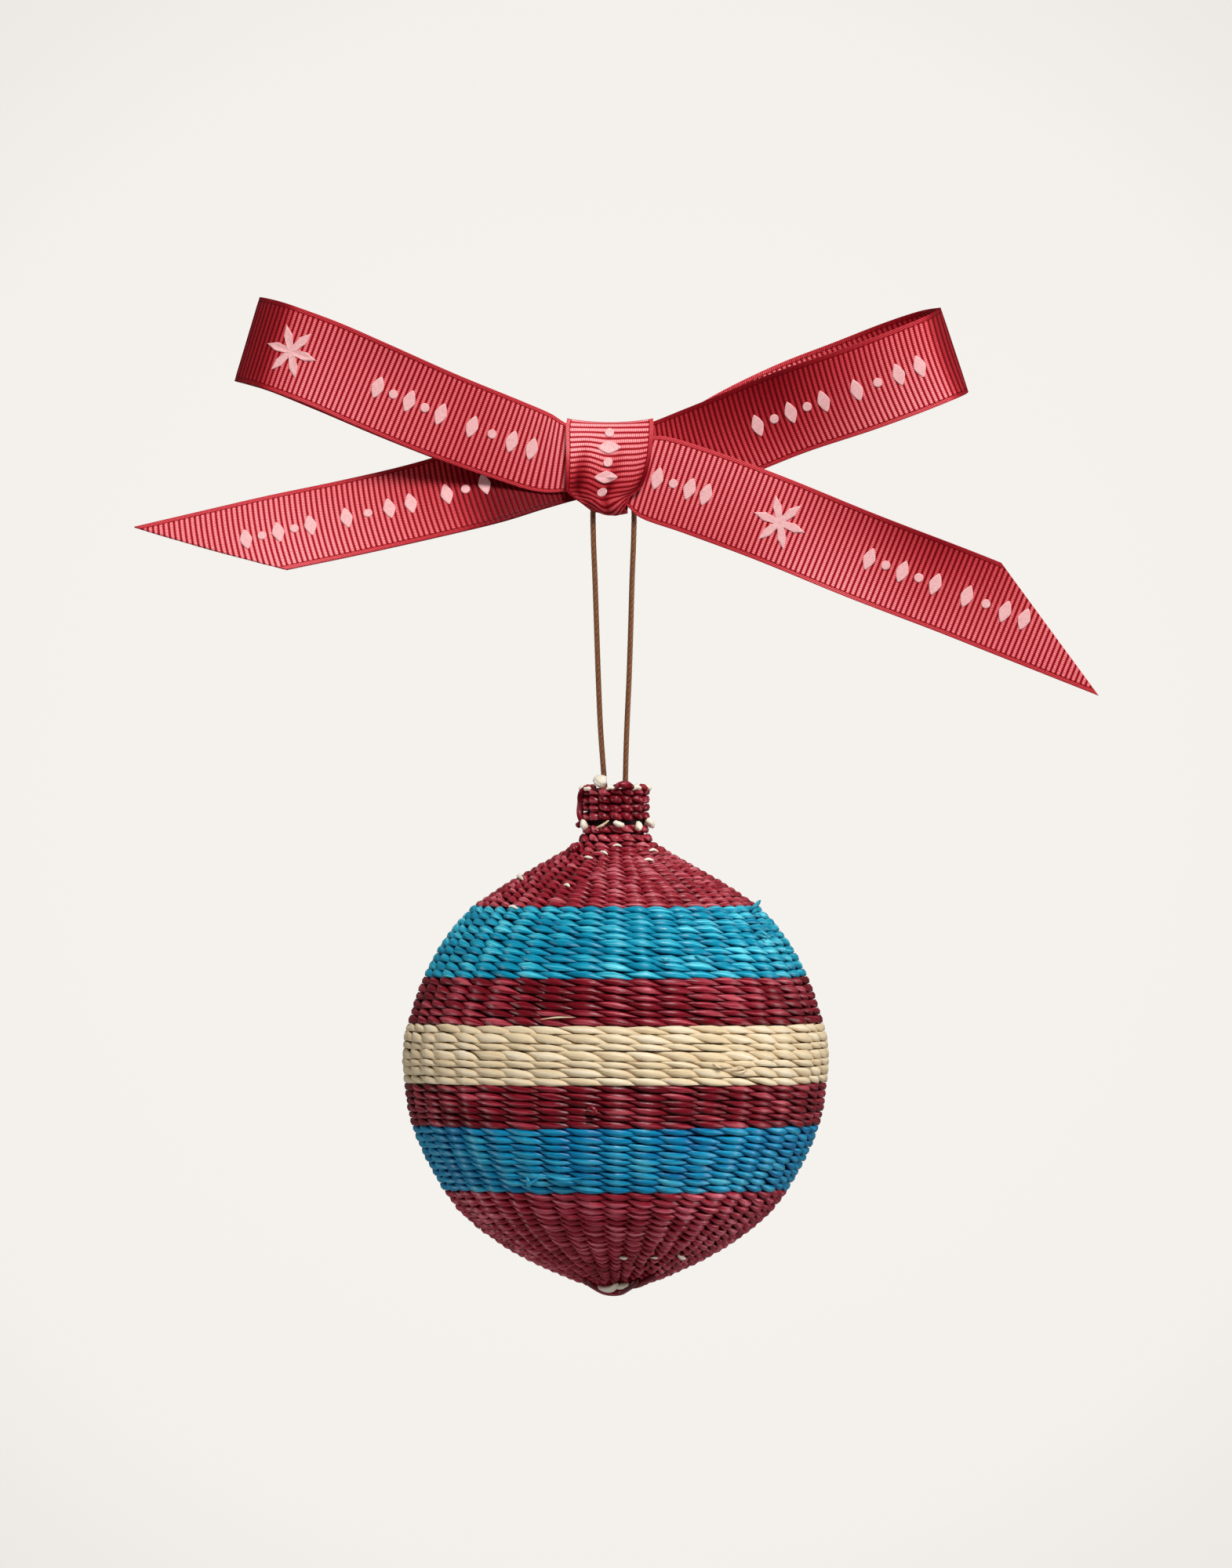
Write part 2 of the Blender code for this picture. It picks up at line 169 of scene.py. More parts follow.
# How far the cloth stands out of its drawn surface, in millimetres
KNOT_BULGE = 1.5
PLEAT_WAVE = 0.2
PLEAT_CREASE = 0.55
TOP_DIP = 1.0
TOP_DIP_REACH = 3.2 * MM
DROOPS = ((31.0, 15.0, 1.5), (131.0, 13.0, 0.9))  # of the upper edge: place along the ribbon, reach, depth
PRINT_LEVELS = ((0.15, 1.0), (0.36, 1.0), (0.44, 0.88))  # height over the ribbon's middle, share of the shape

# Twined rows of straw. Each band has its first and last pixel row in the picture, its rows of stitches, and
# the stitches round a row up to each radius in millimetres.
EVEN_JOINS = ((40.0, 40),)
SHOULDER_JOINS = ((7.6, 16), (10.0, 20), (18.5, 30), (40.0, 40))
FOOT_JOINS = ((3.0, 10), (8.0, 20), (14.0, 30), (40.0, 40))
NECK_JOINS = ((40.0, 15),)
STITCH_SIDES = 7
STITCH_STEPS = 6
STITCH_TAPER = 1.46  # angle of the cosine at a stitch's ends
JITTER = 0.12  # of a stitch's place
ROW_EDGE = 0.47  # of a row's pitch: stitches stay within it to both sides
ROW_WAVE = 0.55  # of a row's pitch, too
STITCH_SIZES = {
    "Overlap": 0.80, "Slant": 0.50, "Fullness": 1.22, "Depth": 0.40 * MM, "Thickness": 0.52 * MM,
    "Unevenness": 1.0, "Sway": 0.45,
}
MOUTH_DEPTH = 3.0 * MM
MOUTH_RADIUS = 4.0 * MM  # well over the mouth's own and under the neck's
SLOPE_STEP = 0.7 * MM


def side(column):
    """X of a pixel column of the picture."""
    return (column - AXIS_COLUMN) * PIXEL


def height(row):
    """Z of a pixel row of the picture."""
    return (HOOK_ROW - row) * PIXEL


# Nodes

def operators(operation):
    """Two methods of Number for that Math node, with the number as its first value or as its second."""
    return (lambda self, other: self.desk.maths(operation, self, other),
            lambda self, other: self.desk.maths(operation, other, self))


class Number:
    """A number on a socket of a node tree. Python's arithmetic on it adds Math nodes."""

    __add__, __radd__ = operators("ADD")
    __sub__, __rsub__ = operators("SUBTRACT")
    __mul__, __rmul__ = operators("MULTIPLY")
    __truediv__, __rtruediv__ = operators("DIVIDE")
    __pow__, __rpow__ = operators("POWER")

    def __init__(self, desk, socket):
        self.desk = desk
        self.socket = socket

    def __abs__(self):
        return self.desk.maths("ABSOLUTE", self)


class Desk:
    """Adds nodes to one tree, of a material or of Geometry Nodes."""

    def __init__(self, tree):
        self.tree = tree

    def node(self, kind, settings=None, **sockets):
        """A node of that type, with its settings made first and then its sockets filled."""
        made = self.tree.nodes.new(kind)
        for name, value in (settings or {}).items():
            if name == "stops":
                self.set_stops(made.color_ramp, value)
            else:
                setattr(made, name, value)
        return self.fill(made, **sockets)

    def fill(self, node, **sockets):
        """Gives values or links to sockets, whose names have spaces where these have underscores."""
        for name, value in sockets.items():
            self.give(self.named(node.inputs, name.replace("_", " ")), value)
        return node

    def give(self, target, value):
        value = value.socket if isinstance(value, Number) else value
        if isinstance(value, bpy.types.NodeSocket):
            self.tree.links.new(value, target)
        else:
            target.default_value = value

    @staticmethod
    def named(sockets, name):
        return next(socket for socket in sockets if socket.name == name and socket.enabled)

    @staticmethod
    def set_stops(ramp, stops):
        while len(ramp.elements) < len(stops):
            ramp.elements.new(1.0)
        for element, (place, colour) in zip(ramp.elements, stops):
            element.position = place
            element.color = (*colour, 1.0)

    def out(self, kind, settings=None, name=None, **sockets):
        """The socket that a new node gives, its first one unless another is named."""
        made = self.node(kind, settings, **sockets)
        if name is None:
            return next(socket for socket in made.outputs if socket.enabled)
        return self.named(made.outputs, name)

    def number(self, *parts, **named_parts):
        return Number(self, self.out(*parts, **named_parts))

    def maths(self, operation, *values):
        made = self.node("ShaderNodeMath", {"operation": operation})
        for target, value in zip(made.inputs, values):
            self.give(target, value)
        return Number(self, made.outputs[0])

    def apart(self, vector):
        """The three numbers of a vector."""
        return [Number(self, socket) for socket in self.node("ShaderNodeSeparateXYZ", Vector=vector).outputs]

    def together(self, x, y, z):
        return self.out("ShaderNodeCombineXYZ", X=x, Y=y, Z=z)

    def noise(self, vector, scale, detail=2.0, roughness=0.5):
        sockets = {"Vector": vector, "Scale": scale, "Detail": detail, "Roughness": roughness}
        return self.number("ShaderNodeTexNoise", **sockets)

    def ramp(self, factor, stops, kind="LINEAR"):
        made = self.node("ShaderNodeValToRGB", {"stops": stops}, Fac=factor)
        made.color_ramp.interpolation = kind
        return made.outputs["Color"]

    def mix(self, factor, first, second, blend="MIX"):
        settings = {"data_type": "RGBA", "blend_type": blend}
        return self.out("ShaderNodeMix", settings, name="Result", Factor=factor, A=first, B=second)

    def bump(self, height, strength, distance):
        return self.out("ShaderNodeBump", Height=height, Strength=strength, Distance=distance)


def new_material(name, **constants):
    """A material, its desk and its Principled node, with the sockets set that are the same all over."""
    material = bpy.data.materials.new(name)
    material.use_nodes = True
    desk = Desk(material.node_tree)
    return material, desk, desk.fill(material.node_tree.nodes["Principled BSDF"], **constants)


# Meshes

def smooth_rows(rows, steps):
    """Rows on a smooth curve through the given ones, paced by the distance in their first three numbers."""
    rows = [np.array(row, float) for row in rows]
    points = [rows[0] * 2 - rows[1], *rows, rows[-1] * 2 - rows[-2]]
    result = []
    for before, start, end, after in zip(points, points[1:], points[2:], points[3:]):
        pairs = ((before, start), (start, end), (end, after))
        spans = [max(np.linalg.norm((b - a)[:3]), 1e-9) ** 0.5 for a, b in pairs]
        chord = end - start
        leave = chord + spans[1] * ((start - before) / spans[0] - (end - before) / (spans[0] + spans[1]))
        arrive = chord + spans[1] * ((after - end) / spans[2] - (after - start) / (spans[1] + spans[2]))
        for step in range(steps):
            t = step / steps
            curve = start * (2 * t**3 - 3 * t**2 + 1) + leave * (t**3 - 2 * t**2 + t)
            result.append(curve + end * (3 * t**2 - 2 * t**3) + arrive * (t**3 - t**2))
    return np.array([*result, rows[-1]])


def unit(vectors):
    return vectors / np.linalg.norm(vectors, axis=-1, keepdims=True)


def distances(points):
    """How far along their line the points lie."""
    return np.concatenate(([0.0], np.cumsum(np.linalg.norm(np.diff(points, axis=0), axis=1))))


def mark(mesh, name, values, kind="FLOAT", key="value"):
    """Gives each of the mesh's points its value of a new attribute."""
    mesh.attributes.new(name, kind, "POINT").data.foreach_set(key, values)


def add_piece(name, mesh, material=None):
    """An object in the scene, at the origin."""
    piece = bpy.data.objects.new(name, mesh)
    if material is not None:
        mesh.materials.append(material)
    bpy.context.collection.objects.link(piece)
    return piece


def ringed_mesh(name, rings, uvs):
    """A closed mesh through rings of points, with a flat cap on each end; uvs has one more column."""
    count, around = rings.shape[:2]
    here = np.arange(count * around).reshape(count, around)
    after = np.roll(here, -1, axis=1)
    faces = np.stack((here[:-1], after[:-1], after[1:], here[1:]), axis=2)
    mesh = bpy.data.meshes.new(name)
    mesh.from_pydata(rings.reshape(-1, 3).tolist(), [], faces.reshape(-1, 4).tolist())
    layer = mesh.uv_layers.new(name="UVMap")
    corners = np.stack((uvs[:-1, :-1], uvs[:-1, 1:], uvs[1:, 1:], uvs[1:, :-1]), axis=2)
    layer.data.foreach_set("uv", corners.reshape(-1).astype(np.float32))
    work = bmesh.new()
    work.from_mesh(mesh)
    work.verts.ensure_lookup_table()
    for first in (0, (count - 1) * around):
        rim = work.verts[first:first + around]
        edges = {edge for vert in rim for edge in vert.link_edges if edge.is_boundary}
        bmesh.ops.contextual_create(work, geom=list(edges))
    bmesh.ops.recalc_face_normals(work, faces=work.faces)
    if work.calc_volume(signed=True) < 0:
        bmesh.ops.reverse_faces(work, faces=work.faces)
    work.to_mesh(mesh)
    work.free()
    mesh.shade_smooth()
    return mesh


def tube_rings(path, radius, sides):
    """Rings round a path; the radius is a function of the distance along the path and of the angle."""
    path = np.array(path, float)
    along = distances(path)
    heading = unit(np.gradient(path, axis=0))
    across = [unit(np.cross(heading[0], (0.0, 1.0, 0.0) if abs(heading[0][1]) < 0.9 else (1.0, 0.0, 0.0)))]
    for way in heading[1:]:
        across.append(unit(across[-1] - way * np.dot(across[-1], way)))
    across = np.array(across)
    beside = np.cross(heading, across)
    angles = np.arange(sides) * 2 * pi / sides
    size = radius(along[:, None], angles[None, :])
    spoke = across[:, None, :] * np.cos(angles)[:, None] + beside[:, None, :] * np.sin(angles)[:, None]
    rings = path[:, None, :] + spoke * size[:, :, None]
    turn = np.linspace(0.0, 1.0, sides + 1)
    uvs = np.stack(np.broadcast_arrays(turn[None, :], along[:, None] / MM), axis=2)
    return rings, uvs


def dress(piece, node):
    """The piece rides on the part's body and stands for its node, whose own mesh is hidden."""
    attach(piece, "root")
    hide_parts(node)


# Camera

def make_camera():
    data = bpy.data.cameras.new("camera")
    data.sensor_width = SENSOR
    data.lens = SENSOR * CAMERA_DISTANCE / (PICTURE_HEIGHT * PIXEL)
    data.clip_end = 20.0
    camera = bpy.data.objects.new("camera", data)
    camera.location = (side(PICTURE_WIDTH / 2), -CAMERA_DISTANCE, height(PICTURE_HEIGHT / 2))
    camera.rotation_euler = (pi / 2, 0.0, 0.0)
    bpy.context.collection.objects.link(camera)
    bpy.context.scene.camera = camera


# Cord

def waxed_cord():
    material, desk, surface = new_material("waxed_cord", Specular_IOR_Level=0.45)
    across, along, _ = desk.apart(desk.out("ShaderNodeUVMap", {"uv_map": "UVMap"}))
    strand = desk.maths("FRACT", (across - along / (CORD_TWIST / MM)) * CORD_PLIES)
    # Painted shade: darker lines between the plies.
    groove = abs(strand - 0.5) * 2.0
    fibres = desk.noise(desk.together(across * 9.0, along * 0.9, 0.0), 3.0, 4.0, 0.65)
    specks = desk.noise(desk.out("ShaderNodeTexCoord", name="Object"), 2600.0, 2.0, 0.7)
    tone = fibres * 0.75 + specks * 0.5 - groove * 0.22 - 0.12
    stops = ((0.0, (0.035, 0.011, 0.004)), (0.42, (0.190, 0.066, 0.022)), (0.62, (0.32, 0.13, 0.050)),
             (1.0, (0.75, 0.50, 0.30)))
    relief = desk.bump(fibres * 0.6 + specks * 0.6, 0.5, 0.06 * MM)
    desk.fill(surface, Base_Color=desk.ramp(tone, stops), Roughness=0.34 + specks * 0.3, Normal=relief)
    return material


def make_cord():
    route = [(x, 0.0, z) for x, z in CORD_ROUTE]
    line = smooth_rows(route, CORD_STEPS)

    def laid(along, angles):
        ply = np.abs(np.cos((angles - along / CORD_TWIST * 2 * pi) * CORD_PLIES / 2))
        return CORD_DIAMETER / 2 * (1 - CORD_PLY_DEPTH + CORD_PLY_DEPTH * ply)

    rings, uvs = tube_rings(line, laid, CORD_SIDES)
    cord = add_piece("waxed_hanging_cord", ringed_mesh("waxed_hanging_cord", rings, uvs), waxed_cord())
    dress(cord, "hanging_cord")


# Woven globe

class Outline:
    """The part's turned globe from its rim down to its tip, read by the distance along it."""

    def __init__(self):
        places = {}
        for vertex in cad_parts["woven_globe"].data.vertices:
            x, y, z = vertex.co
            radius = (x * x + y * y) ** 0.5
            places[round(z, 6)] = max(radius, places.get(round(z, 6), 0.0))
        mouth_floor = max(places) - MOUTH_DEPTH
        self.points = np.array([
            (radius, z) for z, radius in sorted(places.items(), reverse=True)
            if abs(z - mouth_floor) > 1e-5 or radius > MOUTH_RADIUS
        ])
        self.along = distances(self.points)

    def at_height(self, z):
        return float(np.interp(-z, -self.points[:, 1], self.along))

    def at(self, along):
        """Radius, height, and the way out of the surface in radius and height."""
        r = np.interp(along, self.along, self.points[:, 0])
        z = np.interp(along, self.along, self.points[:, 1])
        ahead = min(along + SLOPE_STEP, self.along[-1])
        behind = max(along - SLOPE_STEP, 0.0)
        dr, dz = (np.interp(ahead, self.along, column) - np.interp(behind, self.along, column)
                  for column in self.points.T)
        size = (dr * dr + dz * dz) ** 0.5
        return r, z, -dz / size, dr / size


def row_points(name, outline, first, last, rows, joins, weights):
    """A point for each row of stitches, with what the stitches need to know of the row."""
    top = outline.at_height(height(first))
    bottom = min(outline.at_height(height(last)), outline.along[-1])
    sizes = np.array([weights[index % len(weights)] for index in range(rows)])
    sizes = sizes / sizes.sum() * (bottom - top)
    centres = top + np.cumsum(sizes) - sizes / 2
    mesh = bpy.data.meshes.new(name)
    facts = []
    for centre, size in zip(centres, sizes):
        r, z, out_r, out_z = outline.at(centre)
        count = next(number for limit, number in joins if r <= limit * MM)
        facts.append((r, z, out_r, out_z, size, count, centre))
    mesh.from_pydata([(fact[0], 0.0, fact[1]) for fact in facts], [], [])
    for column, attribute in enumerate(("radius", "height", "out_r", "out_z", "pitch", "count", "down")):
        mark(mesh, attribute, [float(fact[column]) for fact in facts])
    return mesh


def twining_tree():
    """Geometry Nodes that turn each row's point into a ring of slanting, overlapping stitches.

    The sizes are shares of a stitch's length or of a row's pitch, apart from the depths, which are in metres.
    """
    tree = bpy.data.node_groups.new("twined_rows", "GeometryNodeTree")

    def door(name, kind, way="INPUT"):
        return tree.interface.new_socket(name, in_out=way, socket_type="NodeSocket" + kind)

    door("Rows", "Geometry")
    for name, value in STITCH_SIZES.items():
        door(name, "Float").default_value = value
    door("Seed", "Int")
    door("Straw", "Material")
    door("Stitches", "Geometry", "OUTPUT")
    desk = Desk(tree)
    given = desk.node("NodeGroupInput").outputs

    def size(name):
        return Number(desk, given[name])

    def known(name, kind="FLOAT"):
        return desk.number("GeometryNodeInputNamedAttribute", {"data_type": kind}, Name=name)

    def store(geometry, name, value, kind="FLOAT", domain="POINT"):
        return desk.out("GeometryNodeStoreNamedAttribute", {"data_type": kind, "domain": domain},
                        Geometry=geometry, Name=name, Value=value)

    ring = desk.node("GeometryNodeDuplicateElements", {"domain": "POINT"}, Geometry=given["Rows"],
                     Amount=known("count"))
    points = store(ring.outputs["Geometry"], "stake", Number(desk, ring.outputs["Duplicate Index"]))
    chance = desk.out("FunctionNodeRandomValue", {"data_type": "FLOAT_VECTOR"}, Seed=given["Seed"])
    points = store(points, "chance", chance, "FLOAT_VECTOR")
    ply = desk.out("GeometryNodeMeshCylinder", {"fill_type": "NGON"}, Vertices=STITCH_SIDES,
                   Side_Segments=STITCH_STEPS, Radius=1.0, Depth=2.0)
    ply = store(ply, "ply", desk.out("GeometryNodeInputPosition"), "FLOAT_VECTOR")
    stitches = desk.out("GeometryNodeInstanceOnPoints", Points=points, Instance=ply)
    stitches = desk.out("GeometryNodeRealizeInstances", Geometry=stitches)

    outward, down, along = desk.apart(known("ply", "FLOAT_VECTOR"))
    first, second, third = desk.apart(known("chance", "FLOAT_VECTOR"))
    pitch = known("pitch")
    uneven = size("Unevenness")
    theta = along * size("Overlap") * pi
    lens = desk.maths("COSINE", along * STITCH_TAPER)
    place = known("stake") + along * size("Overlap") + (first - 0.5) * JITTER * uneven
    turn = place / known("count") * (2 * pi)
    ring_x = desk.maths("SINE", turn)
    ring_y = desk.maths("COSINE", turn)
    column = desk.noise(desk.together(ring_x * 6.0, ring_y * 6.0, known("down") * 45.0), 1.0)
    wobble = desk.noise(desk.together(ring_x * 4.0, ring_y * 4.0, known("down") * 300.0), 1.0)
    turn = turn + (column - 0.5) * size("Sway") * (2 * pi) / known("count")
    half = pitch * 0.5 * size("Fullness") * lens ** 1.15 * (1.0 + (second - 0.5) * 0.22 * uneven)
    drop = pitch * (size("Slant") * along + (third - 0.5) * JITTER * uneven)
    depth = size("Depth") * (desk.maths("COSINE", theta) - 1.0) + (first - 0.5) * JITTER * MM * uneven
    thick = size("Thickness") * (0.35 + lens * 0.65)
    away = depth - size("Thickness") + thick * outward
    lower = desk.maths("SMOOTH_MIN", drop + half * down, pitch * ROW_EDGE, pitch * 0.20)
    lower = desk.maths("SMOOTH_MAX", lower, pitch * -ROW_EDGE, pitch * 0.20)
    lower = lower + (wobble - 0.5) * pitch * ROW_WAVE * uneven
    r = known("radius") + known("out_r") * away + known("out_z") * lower
    z = known("height") + known("out_z") * away - known("out_r") * lower
    position = desk.together(r * desk.maths("SINE", turn), r * desk.maths("COSINE", turn) * -1.0, z)
    stitches = desk.out("GeometryNodeSetPosition", Geometry=stitches, Position=position)
    across = desk.maths("ARCTAN2", down, outward) / (2 * pi) + 0.5
    uv = desk.together(along * 0.5 + 0.5, across, 0.0)
    stitches = store(stitches, "UVMap", uv, "FLOAT2", "CORNER")
    stitches = desk.out("GeometryNodeSetShadeSmooth", Geometry=stitches)
    stitches = desk.out("GeometryNodeSetMaterial", Geometry=stitches, Material=given["Straw"])
    desk.node("NodeGroupOutput", Stitches=stitches)
    return tree


def grown(name, source, tree, sizes):
    """The plain mesh that a Geometry Nodes tree grows on a source mesh with the given inputs."""
    piece = add_piece(name, source)
    modifier = piece.modifiers.new("grown", "NODES")
    modifier.node_group = tree
    identifiers = {item.name: item.identifier for item in tree.interface.items_tree if item.in_out == "INPUT"}
    for key, value in sizes.items():
        modifier[identifiers[key]] = value
    view = bpy.context.evaluated_depsgraph_get()
    mesh = bpy.data.meshes.new_from_object(piece.evaluated_get(view), depsgraph=view)
    piece.modifiers.remove(modifier)
    piece.data = mesh
    return piece


def straw(name, colours, gloss=0.27, patch=0.35, places=(0.10, 0.42, 0.66, 0.95)):
    """Split straw: long fibres in each stitch, each stitch a little lighter or darker than the next."""
    material, desk, surface = new_material(name, Specular_IOR_Level=0.33)
    along, across, _ = desk.apart(desk.out("ShaderNodeUVMap", {"uv_map": "UVMap"}))
    chance = desk.out("ShaderNodeAttribute", {"attribute_name": "chance"}, name="Vector")
    first, second, third = desk.apart(chance)
    twist = across + along * 0.12
    fibres = desk.noise(desk.together(along * 1.6, twist * 34.0, first * 60.0), 1.0, 3.0, 0.6)
    leaves = desk.noise(desk.together(along * 0.9, twist * 9.0, second * 60.0), 1.0, 1.0, 0.5)
    patches = desk.noise(desk.out("ShaderNodeTexCoord", name="Object"), 70.0, 1.0, 0.5)
    tip = abs(along * 2.0 - 1.0)
    crest = desk.maths("COSINE", (across - 0.5) * (2 * pi))
    tone = 0.53 + (third - 0.5) * 0.24 + (fibres - 0.5) * 0.8 + (leaves - 0.5) * 0.75
    # Painted shade: each stitch is darker towards its edges, where the rows meet, and towards its ends, and
    # lighter in its middle.
    tone = tone + (patches - 0.5) * patch + (crest - 0.75) * 0.30 + (0.33 - tip * tip) * 0.30
    relief = desk.bump(fibres + leaves * 0.8, 0.45, 0.10 * MM)
    rough = gloss + (fibres - 0.5) * 0.25
    stops = tuple(zip(places, colours))
    desk.fill(surface, Base_Color=desk.ramp(tone, stops), Roughness=rough, Normal=relief)
    return material


# Dyes: the material's name, the painted shade that shows in the weave's gaps and its colours from dark to
# light, then its roughness, how patchy it is and the places of its colours, for those that aren't as straw()
# has them.
# The foot's colours are made lighter, as painted light on the underside.
DYES = {
    "wine": ("wine_straw", (0.012, 0.001, 0.002),
             ((0.03, 0.001, 0.002), (0.115, 0.001, 0.005), (0.205, 0.003, 0.013), (0.56, 0.09, 0.12))),
    # Wine in lighter colours.
    "faded": ("faded_straw", (0.014, 0.001, 0.002),
              ((0.05, 0.001, 0.003), (0.205, 0.006, 0.014), (0.35, 0.018, 0.034), (0.7, 0.19, 0.22))),
    # The wine's colours made lighter: painted light on the tip, which faces down.
    "foot": ("foot_straw", (0.014, 0.001, 0.002),
             ((0.065, 0.001, 0.003), (0.24, 0.006, 0.017), (0.41, 0.018, 0.042), (0.8, 0.2, 0.26))),
    "turquoise": ("turquoise_straw", (0.001, 0.012, 0.04),
                  ((0.001, 0.075, 0.18), (0.001, 0.19, 0.325), (0.002, 0.32, 0.48), (0.14, 0.74, 0.86))),
    "blue": ("blue_straw", (0.001, 0.01, 0.035),
             ((0.001, 0.05, 0.2), (0.001, 0.16, 0.365), (0.002, 0.275, 0.5), (0.07, 0.47, 0.64)), 0.27, 0.6),
    "undyed": ("undyed_straw", (0.07, 0.035, 0.015),
               ((0.5, 0.32, 0.14), (0.72, 0.54, 0.32), (0.82, 0.66, 0.42), (0.93, 0.8, 0.6)),
               0.38, 0.15, (0.05, 0.38, 0.66, 0.95)),
    "pith": ("cut_straw", None, ((0.55, 0.42, 0.26), (0.84, 0.74, 0.58), (0.96, 0.9, 0.8)),
             0.6, 0.6, (0.10, 0.45, 0.9)),
}


def shade_lining_material():
    """What shows in the gaps of the weave: the same dyes, deep in shadow."""
    material, desk, surface = new_material("straw_in_shadow", Roughness=0.8, Specular_IOR_Level=0.2)
    z = desk.apart(desk.out("ShaderNodeTexCoord", name="Object"))[2]
    borders = [height(band[1]) for band in BANDS]
    top = borders[0]
    reach = top - borders[-1] + 0.05
    stops = [((top - border) / reach, DYES[band[5]][1]) for border, band in zip(borders, BANDS)]
    desk.fill(surface, Base_Color=desk.ramp((top - z) / reach, stops, "CONSTANT"))
    return material


NECK_SIZES = {
    "Overlap": 0.86, "Slant": 0.30, "Fullness": 1.10, "Depth": 0.60 * MM, "Thickness": 0.62 * MM,
    "Sway": 0.25,
}
UNDYED_SIZES = {"Overlap": 0.92, "Slant": 0.62, "Fullness": 1.28, "Thickness": 0.42 * MM, "Depth": 0.36 * MM}
FOOT_SIZES = {"Slant": 0.50, "Depth": 0.52 * MM, "Thickness": 0.56 * MM}
BANDS = (
    ("neck_rows", 1004, 1047, 4, NECK_JOINS, "wine", NECK_SIZES),
    ("shoulder_rows", 1052, 1153, 17, SHOULDER_JOINS, "faded", {}),
    ("upper_blue_rows", 1153, 1244, 10, EVEN_JOINS, "turquoise", {}),
    ("upper_wine_rows", 1244, 1304, 6, EVEN_JOINS, "wine", {}),
    ("undyed_rows", 1304, 1381, 7, EVEN_JOINS, "undyed", UNDYED_SIZES),
    ("lower_wine_rows", 1381, 1436, 6, EVEN_JOINS, "wine", {}),
    ("lower_blue_rows", 1436, 1519, 9, EVEN_JOINS, "blue", {}),
    ("foot_rows", 1519, 1647, 22, FOOT_JOINS, "foot", FOOT_SIZES),
)
UNDYED_WEIGHTS = (1.0, 1.2, 0.85, 1.2, 0.85, 1.15, 0.95)
DYED_WEIGHTS = (1.0, 1.07, 0.93, 1.05, 0.90, 1.08, 0.97)
SHADE_LINING_START = 0.3 * MM
SHADE_LINING_STEP = 1.2 * MM
SHADE_LINING_DEPTH = 1.15 * MM
SHADE_LINING_SIDES = 96


def make_shade_lining(outline):
    """A plain turned body under the weave, dark as painted shade in the weave's gaps."""
    profile = []
    for along in np.arange(SHADE_LINING_START, outline.along[-1], SHADE_LINING_STEP):
        r, z, out_r, out_z = outline.at(along)
        if r > SHADE_LINING_DEPTH * 1.5:
            profile.append((r - out_r * SHADE_LINING_DEPTH, z - out_z * SHADE_LINING_DEPTH))
    angles = np.arange(SHADE_LINING_SIDES) * 2 * pi / SHADE_LINING_SIDES
    rings = np.array([[(r * sin(a), -r * cos(a), z) for a in angles] for r, z in profile])
    turn = np.linspace(0.0, 1.0, SHADE_LINING_SIDES + 1)
    uvs = np.stack(np.broadcast_arrays(turn[None, :], rings[:, 0, 2][:, None]), axis=2)
    lining = add_piece("globe_shade_lining", ringed_mesh("globe_shade_lining", rings, uvs), shade_lining_material())
    dress(lining, "woven_globe")


def make_globe():
    outline = Outline()
    tree = twining_tree()
    dyes = {dye: straw(name, colours, *rest) for dye, (name, _, colours, *rest) in DYES.items()}
    for seed, (name, first, last, rows, joins, dye, sizes) in enumerate(BANDS):
        weights = UNDYED_WEIGHTS if dye == "undyed" else DYED_WEIGHTS
        points = row_points(name, outline, first, last, rows, joins, weights)
        band = grown(name, points, tree, {**sizes, "Seed": seed, "Straw": dyes[dye]})
        dress(band, "woven_globe")
    make_shade_lining(outline)
    make_bits(outline, dyes)


